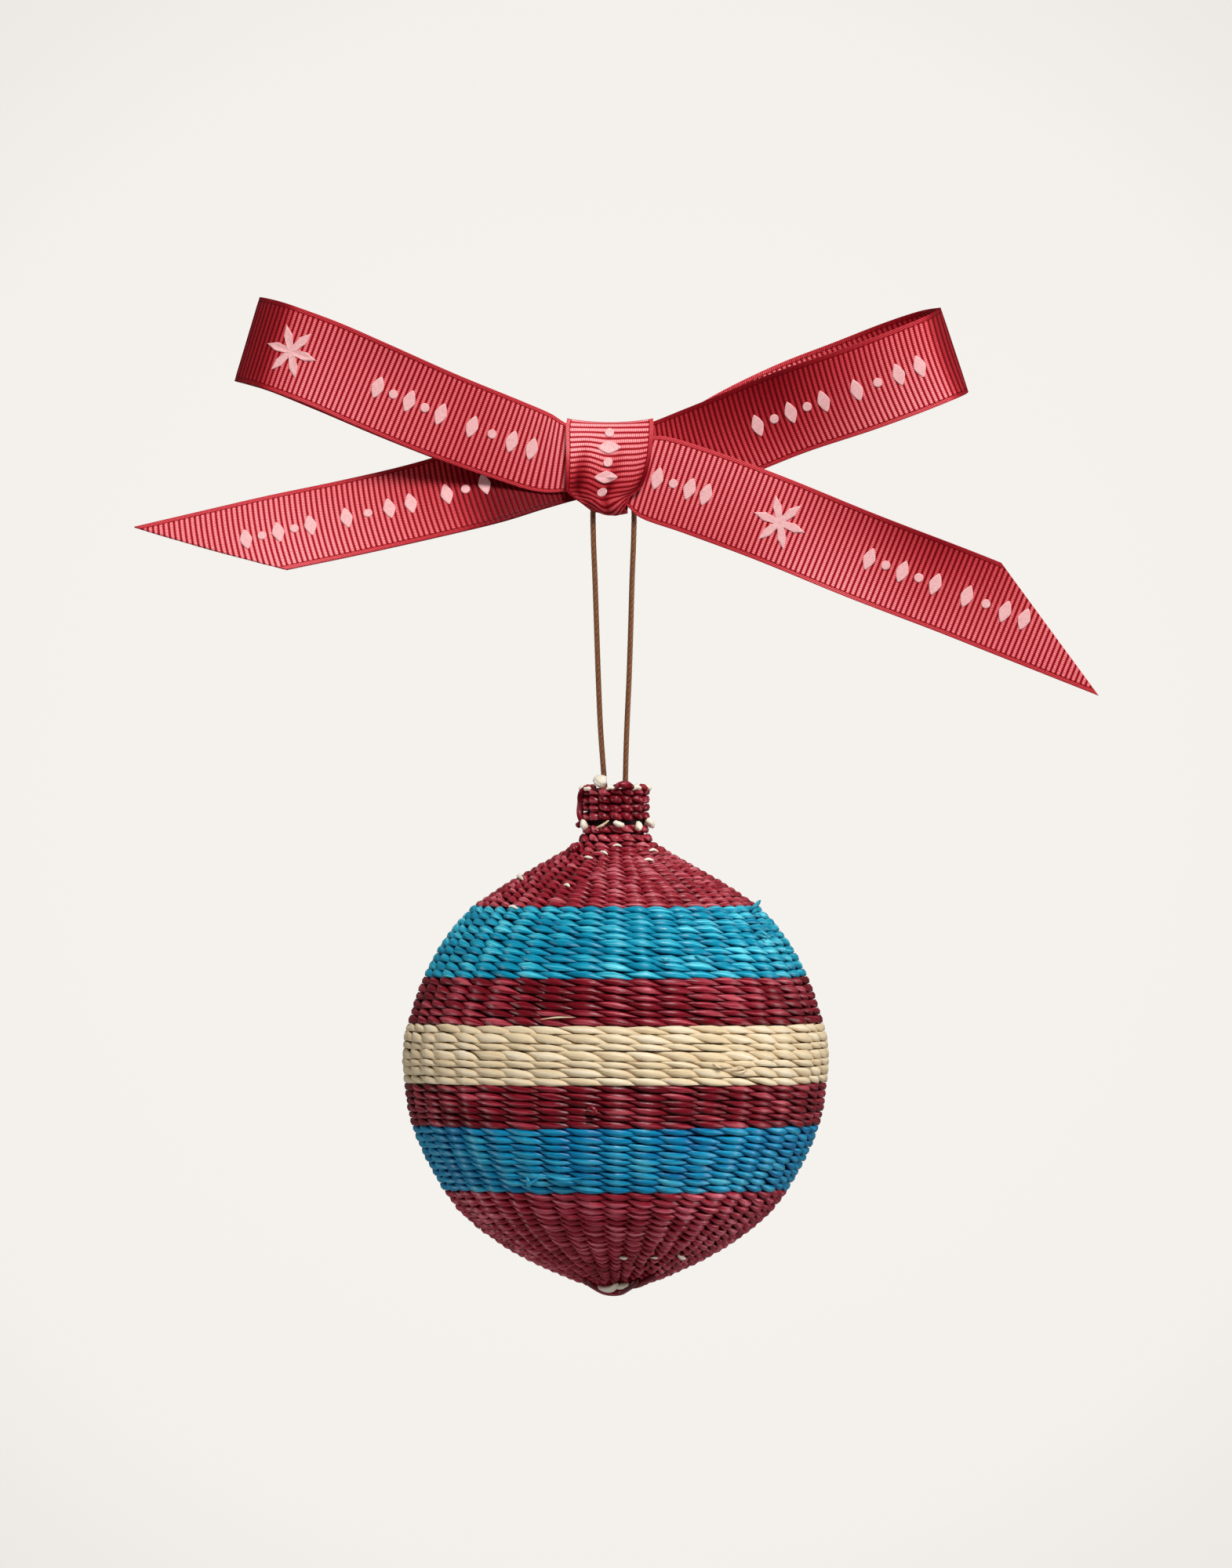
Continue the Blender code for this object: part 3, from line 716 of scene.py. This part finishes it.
# Bits of straw that stand out of the weave, by their dye: width in millimetres, the pixel columns and rows
# that each passes with how far it stands out of the woven surface there, and how blunt its ends are if not 2
BITS = {
    "pith": (
        (2.5, ((763.5, 1003, -0.2), (766.5, 1000, 0.8), (769, 999, 1.9)), 2.4),
        (0.9, ((742, 1008, -0.2), (747, 1006, 0.1), (753, 1006, -0.2)), 3),
        (0.7, ((772, 1004.5, -0.5), (779, 1003.5, -0.2), (786, 1004.5, -0.5)), 3),
        (0.9, ((806, 1006, -0.3), (812, 1004, 0.1), (818, 1006, -0.3)), 3),
        (1.3, ((745, 1047, 0.2), (748, 1052, 0.6), (751, 1057, 0.6)), 4),
        (1, ((783, 1048, 0.2), (788, 1050.5, 0.8), (795, 1052.5, 0.8)), 4),
        (1.3, ((813, 1049, 0.2), (811, 1053.5, 0.8), (809, 1060, 0.9)), 4),
        (1.2, ((824, 1045, 0.1), (826, 1049, 0.4), (828, 1054, 0.5)), 4),
        (0.45, ((781, 1078, -0.15), (787, 1077.5, 0), (793, 1079, -0.1))),
        (0.5, ((765, 1085, -0.1), (770, 1086.5, -0.02), (775, 1089, -0.1))),
        (0.55, ((745, 1092, -0.1), (750, 1093, -0.02), (756, 1094, -0.1))),
        (0.55, ((828, 1084.5, -0.1), (834, 1083.5, -0.02), (840, 1086, -0.1))),
        (0.55, ((821, 1096, -0.1), (827, 1095.5, -0.02), (834, 1097, -0.1))),
        (0.7, ((660, 1116, -0.1), (663, 1118, 0.1), (667, 1121, -0.2))),
        (0.55, ((719, 1128, -0.1), (723, 1128, 0.1), (727, 1130, -0.1))),
        (0.5, ((649, 1155, -0.1), (655, 1155.5, 0.1), (661, 1158, -0.1))),
        (0.65, ((790, 1601, -0.1), (795, 1600.5, 0.1), (800, 1602, -0.1))),
        (0.45, ((829, 1601, -0.1), (834, 1600.5, 0.1), (839, 1602, -0.1))),
        (0.7, ((864, 1599, -0.1), (869, 1601, 0.15), (874, 1603.5, -0.1))),
        (1.25, ((761, 1639.5, -0.1), (769, 1640.5, 0.3), (779, 1640, 0.4), (788, 1635, 0.1))),
        (1.15, ((783, 1640, 0.1), (791, 1637.5, 0.3), (802, 1635, 0.1))),
    ),
    "wine": (
        (1.3, ((784, 1005, 0.2), (791, 1004, 0.6), (799, 1004, 0.6), (808, 1006, 0.2)), 2.2),
        (0.8, ((785, 1003, 0), (788, 1004.5, 0.6), (785, 1008, 0.4))),
        (1.2, ((750, 1004, 0.2), (744, 1010, 0.4), (740.5, 1022, 0.1), (740, 1038, 0.1), (743, 1049, 0),
               (750, 1055, -0.5)), 2.5),
        (1.9, ((728, 1087, 0), (734, 1083, 0.2), (740, 1081, 0)), 2.5),
        (1.5, ((744, 1628, 0.1), (758, 1639, 0.1), (774, 1645, 0.25), (790, 1645, 0.25), (804, 1637, 0.2),
               (813, 1630, 0.1)), 3),
        (1.3, ((802, 1638, 0.1), (810, 1638, 0.1), (824, 1630, 0.1), (836, 1624, -0.1)), 3),
        (0.7, ((748, 1410, 0.1), (755, 1407, 0.5), (760, 1411, 0.6), (756, 1415, 0.5), (749, 1413, 0.1))),
    ),
    "undyed": (
        (0.5, ((760, 1056, 0.1), (769, 1052.5, 0.5), (777, 1046, 0.3))),
        (0.35, ((907, 1352, 0.1), (912, 1356, 0.5), (918, 1358, 0.2)), 1.6),
        (0.3, ((908, 1358, 0.1), (914, 1354, 0.5), (921, 1356, 0.2)), 1.6),
        (0.35, ((930, 1359, 0.1), (940, 1357, 0.4), (952, 1361, 0.1)), 1.6),
        (0.3, ((934, 1364, 0.1), (944, 1363, 0.4), (950, 1359, 0.1)), 1.6),
        (0.3, ((690, 1297, 0.1), (710, 1295, 0.3), (735, 1294, 0)), 1.6),
    ),
    "turquoise": (
        (0.75, ((955, 1160, 0), (960, 1157, 0.2), (963, 1155, 0.5), (967, 1152, 0.6)), 1.8),
        (0.6, ((958, 1164, 0), (964, 1161, 0.3), (967, 1163, 0.4)), 1.8),
        (0.6, ((961, 1189, 0.1), (968, 1190, 0.5), (974, 1193, 0.4), (978, 1190, 0.1)), 1.6),
        (0.4, ((966, 1193, 0.2), (971, 1196, 0.5), (975, 1199, 0.3)), 1.6),
        (0.45, ((842, 1221, 0.1), (848, 1224, 0.5), (853, 1222, 0.2)), 1.6),
        (0.45, ((884, 1217, 0.1), (892, 1222, 0.5), (899, 1223, 0.1)), 1.6),
    ),
    "blue": (
        (0.65, ((672, 1495, 0.1), (677, 1500, 0.6), (676, 1505, 0.5), (682, 1501, 0.5), (688, 1497, 0.1)),
         1.8),
        (0.6, ((696, 1493, 0.1), (712, 1497, 0.3), (730, 1498, 0.3), (746, 1496, 0.1))),
    ),
}
BIT_SIDES = 10
BIT_STEPS = 5
BIT_CHANCE = (0.5, 0.5, 0.75)  # as a stitch of middling fibres and a lighter tone
MOUTH_BITS = 15  # round the rim, and round the neck's foot where the picture shows none
MOUTH_BIT_WIDTH = 1.15 * MM
# Their pixel row, how far out they reach in millimetres, and the share of the ring that they keep to
MOUTH_RINGS = ((1004.5, 0.55, 0.72), (1050.5, 1.0, 0.60))


def on_globe(outline, column, row, out):
    """The place that far out of the woven surface, in millimetres, on the viewer's side."""
    r, z, out_r, out_z = outline.at(outline.at_height(height(row)))
    x = side(column)
    y = -max(r * r - x * x, 0.0) ** 0.5
    reach = max((x * x + y * y) ** 0.5, 0.1 * MM)
    along = out_r * out * MM / reach
    return (x + x * along, y + y * along, z + out_z * out * MM)


def bit_mesh(path, width, blunt=2.0):
    line = smooth_rows(path, BIT_STEPS)
    total = distances(line)[-1]

    def size(along, angles):
        share = np.clip(along / total, 0.0, 1.0) * 2 - 1
        rough = 1 + 0.13 * np.cos(3 * angles + 1.3) + 0.09 * np.cos(2 * angles + 6 * share)
        return width / 2 * (0.15 + 0.85 * (1 - np.abs(share) ** blunt) ** (1 / blunt)) * rough

    rings, uvs = tube_rings(line, size, BIT_SIDES)
    spread = 0.5 + 0.15 * np.sin(2 * pi * uvs[..., 0])
    uvs = np.stack((uvs[..., 1] * MM / total, spread), axis=2)
    return ringed_mesh("bit", rings, uvs)


def make_bits(outline, dyes):
    """The loose ends, cut stakes and glints, one piece for each dye."""
    meshes = {}
    for dye, bits in BITS.items():
        meshes[dye] = [bit_mesh([on_globe(outline, *stop) for stop in stops], width * MM, *blunt)
                       for width, stops, *blunt in bits]
    for index in range(MOUTH_BITS):
        turn = 2 * pi * (index + 0.5) / MOUTH_BITS
        for row, reach, free in MOUTH_RINGS:
            if abs(turn - pi) > free * pi:
                continue
            r, z, _, _ = outline.at(outline.at_height(height(row)))
            slope = 0.7 * MM * (1 + index % 3) / 3
            path = [((r + step * MM) * sin(turn), -(r + step * MM) * cos(turn), z + fall * slope)
                    for step, fall in ((-1.1, 0.4), (reach - 0.8, 0.0), (reach, -0.8))]
            dye = "pith" if (index * 7 + int(reach)) % 5 < 3 else "wine"
            meshes[dye].append(bit_mesh(path, MOUTH_BIT_WIDTH, 4.0))
    for dye, parts in meshes.items():
        work = bmesh.new()
        for part in parts:
            work.from_mesh(part)
            bpy.data.meshes.remove(part)
        joined = bpy.data.meshes.new(dye + "_ends")
        work.to_mesh(joined)
        work.free()
        mark(joined, "chance", BIT_CHANCE * len(joined.vertices), "FLOAT_VECTOR", "vector")
        joined.shade_smooth()
        dress(add_piece(dye + "_ends", joined, dyes[dye]), "woven_globe")


# Ribbon

def cross_line(middle, slope, share=1.0, lean=0.0):
    slope = radians(slope)
    lean = radians(lean)
    way = (cos(slope) * cos(lean), sin(lean), sin(slope) * cos(lean))
    return (*middle, *way, share)


def from_knot(x, depth, z):
    return np.array((KNOT_SIDE + x * MM, depth, KNOT_HEIGHT + z * MM))


def layer_lines(rows, layer):
    return [cross_line(from_knot(x, layer + depth * MM, z), *turn) for x, depth, z, *turn in rows]


def fold_lines():
    """Round the slanted crease where the left loop's end turns up to become the wrap."""
    crease = (FOLD_HEADING + 90) / 2
    radius = LAYER_PITCH / 2
    along = np.array((cos(radians(crease)), 0.0, sin(radians(crease))))
    outward = np.array((along[2], 0.0, -along[0]))
    advance = radius * pi / 2 * tan(radians(90 - crease + FOLD_HEADING))
    lines = []
    for step in range(FOLD_STEPS + 1):
        angle = pi * step / FOLD_STEPS
        middle = from_knot(FOLD_CENTRE[0], BACK_INNER + radius * (1 - cos(angle)), FOLD_CENTRE[1])
        middle = middle + outward * radius * sin(angle) + along * advance * (step / FOLD_STEPS * 2 - 1)
        lines.append(cross_line(middle, crease, FOLD_SHARE))
    return lines


def in_line(kinds, first, last):
    """Printed shapes spaced evenly from one pixel column to another."""
    return [(kind, column) for kind, column in zip(kinds, np.linspace(first, last, len(kinds)))]


# For each visible stretch: its first part of the ribbon and the next one, the side that shows, and its shapes
LONG_RUN = ("lozenge", "dot", "lozenge", "dot", "lozenge")
SHORT_RUN = ("lozenge", "dot", "lozenge", "lozenge")
PRINTS = (
    (0, 1, -1, 0, (*in_line(LONG_RUN, 1108, 1192), *in_line(SHORT_RUN, 1232, 1305), ("star", 994),
                   *in_line(SHORT_RUN, 838, 900))),
    (1, 2, -1, 0, (("star", 372), *in_line(LONG_RUN, 482, 562), *in_line(SHORT_RUN, 602, 678))),
    (6, 7, 1, 2, (("dot", 552), ("lozenge", 571), ("dot", 590), ("lozenge", 609), ("dot", 628))),
    (9, 10, 1, 0, (*in_line(LONG_RUN, 966, 1050), *in_line(SHORT_RUN, 1092, 1172))),
    (10, 11, 1, 0, (*in_line(LONG_RUN, 314, 396), *in_line(SHORT_RUN, 442, 524),
                    *in_line(LONG_RUN[:3], 570, 618))),
)

# For each stretch: its parts and axis as above, and by picture column or row the painted light and shade of
# its middle and what its +1 edge adds, as powers of two: painted light where the satin faces the light, and
# painted shade where it turns away or lies in shadow
PAINTED_SHADING_STOPS = (
    (0, 1, 0, ((1400, 0, 0), (1300, -0.1, -0.1), (1180, -0.25, -0.35), (1090, 0, -0.3),
               (1040, 0.05, -0.2), (960, 0, 0.1), (840, 0, 0.1))),
    (1, 2, 0, ((710, 0.05, 0.1), (600, -0.15, 0), (460, 0, -0.1), (400, 0.05, -0.1),
               (365, -0.1, 0), (345, -0.8, 0), (310, -1, 0))),
    (2, 3, 0, ((310, -0.8, 0), (600, -0.2, 0))),
    (6, 7, 2, ((545, 0.3, -0.1), (575, 0.25, -0.25), (600, -0.1, 0), (622, -0.5, 0.2), (640, -0.3, 0.1))),
    (8, 9, 0, ((830, -0.6, -0.3), (1000, -0.4, -0.6), (1100, -0.7, -0.4), (1180, -0.9, 0))),
    (9, 10, 0, ((1230, -1, 0), (1206, -0.8, 0.1), (1192, 0, 0.2), (1150, 0.05, 0.2), (1080, -0.2, 0.3),
                (1000, -0.6, 0.45), (900, -0.4, 0.4), (840, -0.3, 0.2))),
    (10, 11, 0, ((700, -1.2, 0), (625, -1.1, 0), (570, -0.35, 0.2), (480, 0, 0.1), (360, 0.2, 0.1),
                 (200, 0.1, 0))),
)


def hill(offset, reach):
    """1 at no offset, and next to nothing beyond twice the reach."""
    return np.exp(-(offset / reach) ** 2)


class Strip:
    """The tied ribbon's surface: a place from the share across it, -1 to 1, and the distance along it."""

    def __init__(self):
        parts = [layer_lines(rows, layer) for rows, layer in PARTS]
        parts.insert(FOLD_PART, fold_lines())
        rows = smooth_rows([line for part in parts for line in part], LINE_STEPS)
        middle = rows[:, :3]
        self.along = distances(middle)
        self.length = self.along[-1]
        firsts = np.cumsum([0, *map(len, parts)]) * LINE_STEPS
        self.starts = self.along[np.minimum(firsts, len(rows) - 1)]
        heading = unit(np.gradient(middle, axis=0))
        way = unit(rows[:, 3:6])
        crossed = np.cross(heading, way)
        sine = np.linalg.norm(crossed, axis=1, keepdims=True)
        half = way * RIBBON_WIDTH / 2 * rows[:, 6:7] / sine
        self.table = np.column_stack((middle, half, crossed / sine, heading, rows[:, 6]))

    def at(self, across, along, out=0.0):
        """Points that far out of the middle surface, for arrays of places across and along."""
        inside = np.clip(along, 0.0, self.length)
        columns = np.stack([np.interp(inside, self.along, column) for column in self.table.T], axis=-1)
        middle, half, normal, heading = (columns[..., i:i + 3] for i in (0, 3, 6, 9))
        beyond = (along - inside)[..., None]
        lift = np.asarray(out)[..., None]
        return middle + half * np.asarray(across)[..., None] + heading * beyond + unit(normal) * lift

    def rumple(self, across, along):
        """How far the cloth stands out of the drawn surface and its ribs wander along it."""
        falling, gathered, crease = self.pleats(across, along)
        bulge = np.sin(pi * falling) ** 1.2
        out = KNOT_BULGE * bulge * (1 - 0.55 * across**2) + PLEAT_WAVE * gathered - PLEAT_CREASE * crease
        top = (self.starts[5] + self.starts[6]) / 2
        out = out - TOP_DIP * (1 - across**2) * hill(along - top, TOP_DIP_REACH)
        wander = bulge * (0.62 * np.sin(3.4 * across + 0.9) + 0.20 * np.sin(8.0 * across + 2.0))
        wander = wander + 2.2 * hill(falling - 0.80, 0.16) * (0.2 - across**2)
        for place, reach, depth in DROOPS:
            upper = np.clip(across - 0.1, 0.0, 1.0) ** 2
            out = out - depth * upper * hill(along / MM - place, reach)
        return out * MM, wander * MM

    def pleats(self, across, along):
        """Over the knot's front: the share of its way down, how gathered the cloth is, and its creases."""
        falling = np.clip((along - self.starts[6]) / (self.starts[8] - self.starts[6]), 0.0, 1.0)
        gathered = np.clip((falling - 0.1) / 0.4, 0.0, 1.0) * np.clip((0.84 - falling) / 0.25, 0.0, 1.0)
        wave = np.cos(2 * pi * (1.25 * across + 0.35 * falling + 0.15))
        return falling, gathered * wave, gathered * np.exp(-(1 + wave) / 0.3)

    def places(self, first, last, axis, measures):
        """Distances along the ribbon where its middle passes pixel columns (axis 0) or rows (axis 2)."""
        samples = np.linspace(self.starts[first], self.starts[last], 800)
        reached = self.at(np.zeros(800), samples)[:, axis]
        order = np.argsort(reached)
        wanted = [side(measure) if axis == 0 else height(measure) for measure in measures]
        return np.interp(wanted, reached[order], samples[order])

    def shine(self, across, along):
        """Painted light and shade on the satin, as a power of two, with painted shade in the knot's creases.
        """
        known = []
        for first, last, axis, stops in PAINTED_SHADING_STOPS:
            found = self.places(first, last, axis, [stop[0] for stop in stops])
            known += [(place, stop[1], stop[2]) for place, stop in zip(found, stops)]
        known = np.array(sorted(known))
        middle = np.interp(along, known[:, 0], known[:, 1])
        edge = np.interp(along, known[:, 0], known[:, 2])
        return middle + edge * across - 0.8 * self.pleats(across, along)[2]

    def share(self, along):
        return np.interp(along, self.along, self.table[:, 12])


def grosgrain():
    """Ribbed ribbon: warp threads cross every rib, in steps from rib to rib, with a painted highlight on the
    ridges and threads and painted shade in the grooves; a plain narrow edge.
    """
    sheen = {"Specular_IOR_Level": 0.16, "Specular_Tint": SATIN_TINT}
    material, desk, surface = new_material("rose_grosgrain", **sheen)
    across, along, _ = desk.apart(desk.out("ShaderNodeUVMap", {"uv_map": "UVMap"}))
    width = RIBBON_WIDTH / MM
    ribs = along / (RIB_PITCH / MM)
    rib = desk.maths("FLOOR", ribs)
    ridge = 1.0 - abs(desk.maths("FRACT", ribs) * 2.0 - 1.0)
    ridge = desk.maths("SMOOTH_MIN", ridge * 1.6, 1.0, 0.3)
    thread = abs(desk.maths("COSINE", (across * width / 0.36 + rib * 0.5) * pi))
    edge = desk.maths("GREATER_THAN", abs(across - 0.5), 0.5 - SELVEDGE / 2)
    fuzz = desk.noise(desk.together(across * width, along, 0.0), 5.0, 3.0, 0.6)
    # Painted highlight on the ridges and their threads, and painted shade in the grooves between the ribs,
    # with the cloth's own fuzz.
    tone = ridge * 0.55 + thread * ridge * 0.35 + (fuzz - 0.5) * 0.35
    selvage = abs(desk.maths("COSINE", (along / 0.45 + across * width / 0.5) * pi)) * 0.5 + 0.15
    tone = tone + edge * (selvage - tone)
    seam = abs(abs(across - 0.5) - (0.5 - SELVEDGE / 2))
    tone = tone - desk.maths("LESS_THAN", seam, 0.007) * 0.30
    stops = ((0.0, (0.055, 0.0004, 0.001)), (0.25, (0.14, 0.001, 0.003)), (0.51, (0.39, 0.010, 0.018)),
             (0.74, (0.75, 0.070, 0.085)), (1.0, (0.98, 0.44, 0.46)))
    # Painted light and shade lighten or darken the cloth's colour by place along the ribbon.
    shine = desk.number("ShaderNodeAttribute", {"attribute_name": "shine"}, name="Fac")
    level = 0.25 + tone * (0.75 + shine * 0.34) + shine * 0.12
    power = 2.0 ** (shine * 0.4)
    cloth = desk.mix(1.0, desk.ramp(level, stops), desk.together(power, power, power), "MULTIPLY")
    relief = desk.bump(ridge * thread + fuzz * 0.4, 0.5, 0.08 * MM)
    desk.fill(surface, Base_Color=cloth, Roughness=0.34 + fuzz * 0.15, Normal=relief)
    return material


def make_ribbon():
    strip = Strip()
    cut = RIBBON_WIDTH / 2 / tan(radians(TAIL_CUT_ANGLE))
    lines = np.arange(0.0, strip.length, RIB_PITCH / RIB_LINES)
    lines[-1] = strip.length
    half = np.array(RIBBON_COLUMNS)
    across = np.concatenate((-half[:0:-1], half))
    slant = np.maximum(1 - lines / (2 * cut), 0) - np.maximum(1 - (strip.length - lines) / (2 * cut), 0)
    along = lines[:, None] + across[None, :] * cut * slant[:, None]
    u = np.broadcast_to(across[None, :], along.shape)
    phase = along / RIB_PITCH
    ridge = 1 - np.abs(2 * (phase - np.floor(phase)) - 1) ** 2.4
    inner = np.clip((1 - np.abs(u)) / SELVEDGE - 0.6, 0, 1)
    relief = RIB_HEIGHT * (ridge * inner + 0.7 * (1 - inner))
    out = RIBBON_THICKNESS / 2 + relief
    lift, wander = strip.rumple(u, along)
    front = strip.at(u, along + wander, out + lift)
    back = strip.at(u, along + wander, lift - out)
    rings = np.concatenate((front, back[:, ::-1]), axis=1)
    place = (u + 1) / 2
    spot = np.stack((place, along / MM), axis=2)
    uvs = np.concatenate((spot, spot[:, ::-1], spot[:, :1]), axis=1)
    mesh = ringed_mesh("grosgrain_bow", rings, uvs)
    # Painted light and shade, kept on the mesh's points for the material.
    shine = strip.shine(u, along)
    both = np.concatenate((shine, shine[:, ::-1]), axis=1)
    mark(mesh, "shine", both.reshape(-1).astype(np.float32))
    ribbon = add_piece("grosgrain_bow", mesh, grosgrain())
    dress(ribbon, "ribbon_bow")
    make_print(strip)


def print_outline(kind):
    """Corners of a printed shape, in millimetres along the ribbon and across it."""
    count = {"star": 24, "dot": 14, "lozenge": 20}[kind]
    turns = np.arange(count) * 2 * pi / count
    along = np.cos(turns)
    across = np.sin(turns)
    if kind == "star":
        size = 3.1 + 1.9 * np.cos(6 * turns)
        return np.column_stack((size * along, size * across))
    if kind == "dot":
        return np.column_stack((0.85 * along, 0.85 * across))
    return np.column_stack((along * np.abs(along) ** 0.5 * 1.15, across * np.abs(across) ** 0.5 * 2.1))


def make_print(strip):
    """Raised pale shapes along the ribbon's middle, on the sides of it that the picture shows."""
    vertices = []
    faces = []
    for first, last, facing, axis, marks in PRINTS:
        middles = strip.places(first, last, axis, [place for kind, place in marks])
        for (kind, _), middle in zip(marks, middles):
            corners = print_outline(kind)
            count = len(corners)
            start = len(vertices)
            levels = []
            for out, share in PRINT_LEVELS:
                along = middle + corners[:, 0] * share * MM
                across = corners[:, 1] * share * MM / (RIBBON_WIDTH / 2) / strip.share(along)
                lift = strip.rumple(across, along)[0]
                levels.append(strip.at(across, along, facing * out * MM + lift))
            for points in (*levels, levels[0].mean(axis=0)[None], levels[2].mean(axis=0)[None]):
                vertices += points.tolist()
            for i in range(count):
                j = (i + 1) % count
                for low in (start, start + count):
                    faces.append((low + i, low + j, low + count + j, low + count + i))
                faces.append((start + j, start + i, start + 3 * count))
                faces.append((start + 2 * count + i, start + 2 * count + j, start + 3 * count + 1))
    mesh = bpy.data.meshes.new("raised_print")
    mesh.from_pydata(vertices, [], faces)
    work = bmesh.new()
    work.from_mesh(mesh)
    bmesh.ops.recalc_face_normals(work, faces=work.faces)
    work.to_mesh(mesh)
    work.free()
    material, desk, surface = new_material("pale_print", Specular_IOR_Level=0.4, Roughness=0.55)
    grain = desk.noise(desk.out("ShaderNodeTexCoord", name="Object"), 3000.0, 2.0, 0.6)
    stops = ((0.3, (0.80, 0.38, 0.38)), (0.7, (0.95, 0.54, 0.54)))
    desk.fill(surface, Base_Color=desk.ramp(grain, stops), Normal=desk.bump(grain, 0.4, 0.08 * MM))
    dress(add_piece("raised_print", mesh, material), "ribbon_bow")


# Stage and light

def make_floor():
    """A pale floor well below the bauble."""
    turns = [2 * pi * i / FLOOR_SIDES for i in range(FLOOR_SIDES)]
    vertices = [(FLOOR_RADIUS * cos(turn), FLOOR_RADIUS * sin(turn), FLOOR_HEIGHT) for turn in turns]
    mesh = bpy.data.meshes.new("pale_floor")
    mesh.from_pydata(vertices, [], [tuple(range(FLOOR_SIDES))])
    material = new_material("pale_floor", Base_Color=FLOOR_SHADE, Roughness=0.9, Specular_IOR_Level=0.1,
                            Emission_Color=FLOOR_GLOW, Emission_Strength=1.0)[0]
    floor = add_piece("pale_floor", mesh, material)
    floor.visible_diffuse = False
    floor.visible_glossy = False


def make_room():
    """A pale backdrop all round, which lights the bauble more from above than from below."""
    world = bpy.data.worlds.new("soft_room")
    world.use_nodes = True
    desk = Desk(world.node_tree)
    shade = world.node_tree.nodes["Background"]
    right, _, up = desk.apart(desk.out("ShaderNodeTexCoord", name="Generated"))
    glow = desk.ramp(up * 0.5 + 0.5, ROOM_GLOW)
    edge = desk.maths("SQRT", right * right + up * up) / PICTURE_CORNER
    seen = desk.out("ShaderNodeLightPath", name="Is Camera Ray")
    desk.fill(shade, Color=desk.mix(seen, glow, desk.ramp(edge, BACKDROP)))
    bpy.context.scene.world = world


def make_lights():
    for name, place, size, power, in_gloss in LIGHTS:
        data = bpy.data.lights.new(name, "AREA")
        data.shape = "RECTANGLE"
        data.size, data.size_y = size
        data.energy = power
        light = bpy.data.objects.new(name, data)
        light.location = place
        light.rotation_euler = (Vector(LIT_POINT) - Vector(place)).to_track_quat("-Z", "Y").to_euler()
        light.visible_glossy = in_gloss
        bpy.context.collection.objects.link(light)


bpy.context.scene.view_settings.view_transform = "Standard"
make_camera()
make_cord()
make_globe()
make_ribbon()
make_floor()
make_room()
make_lights()
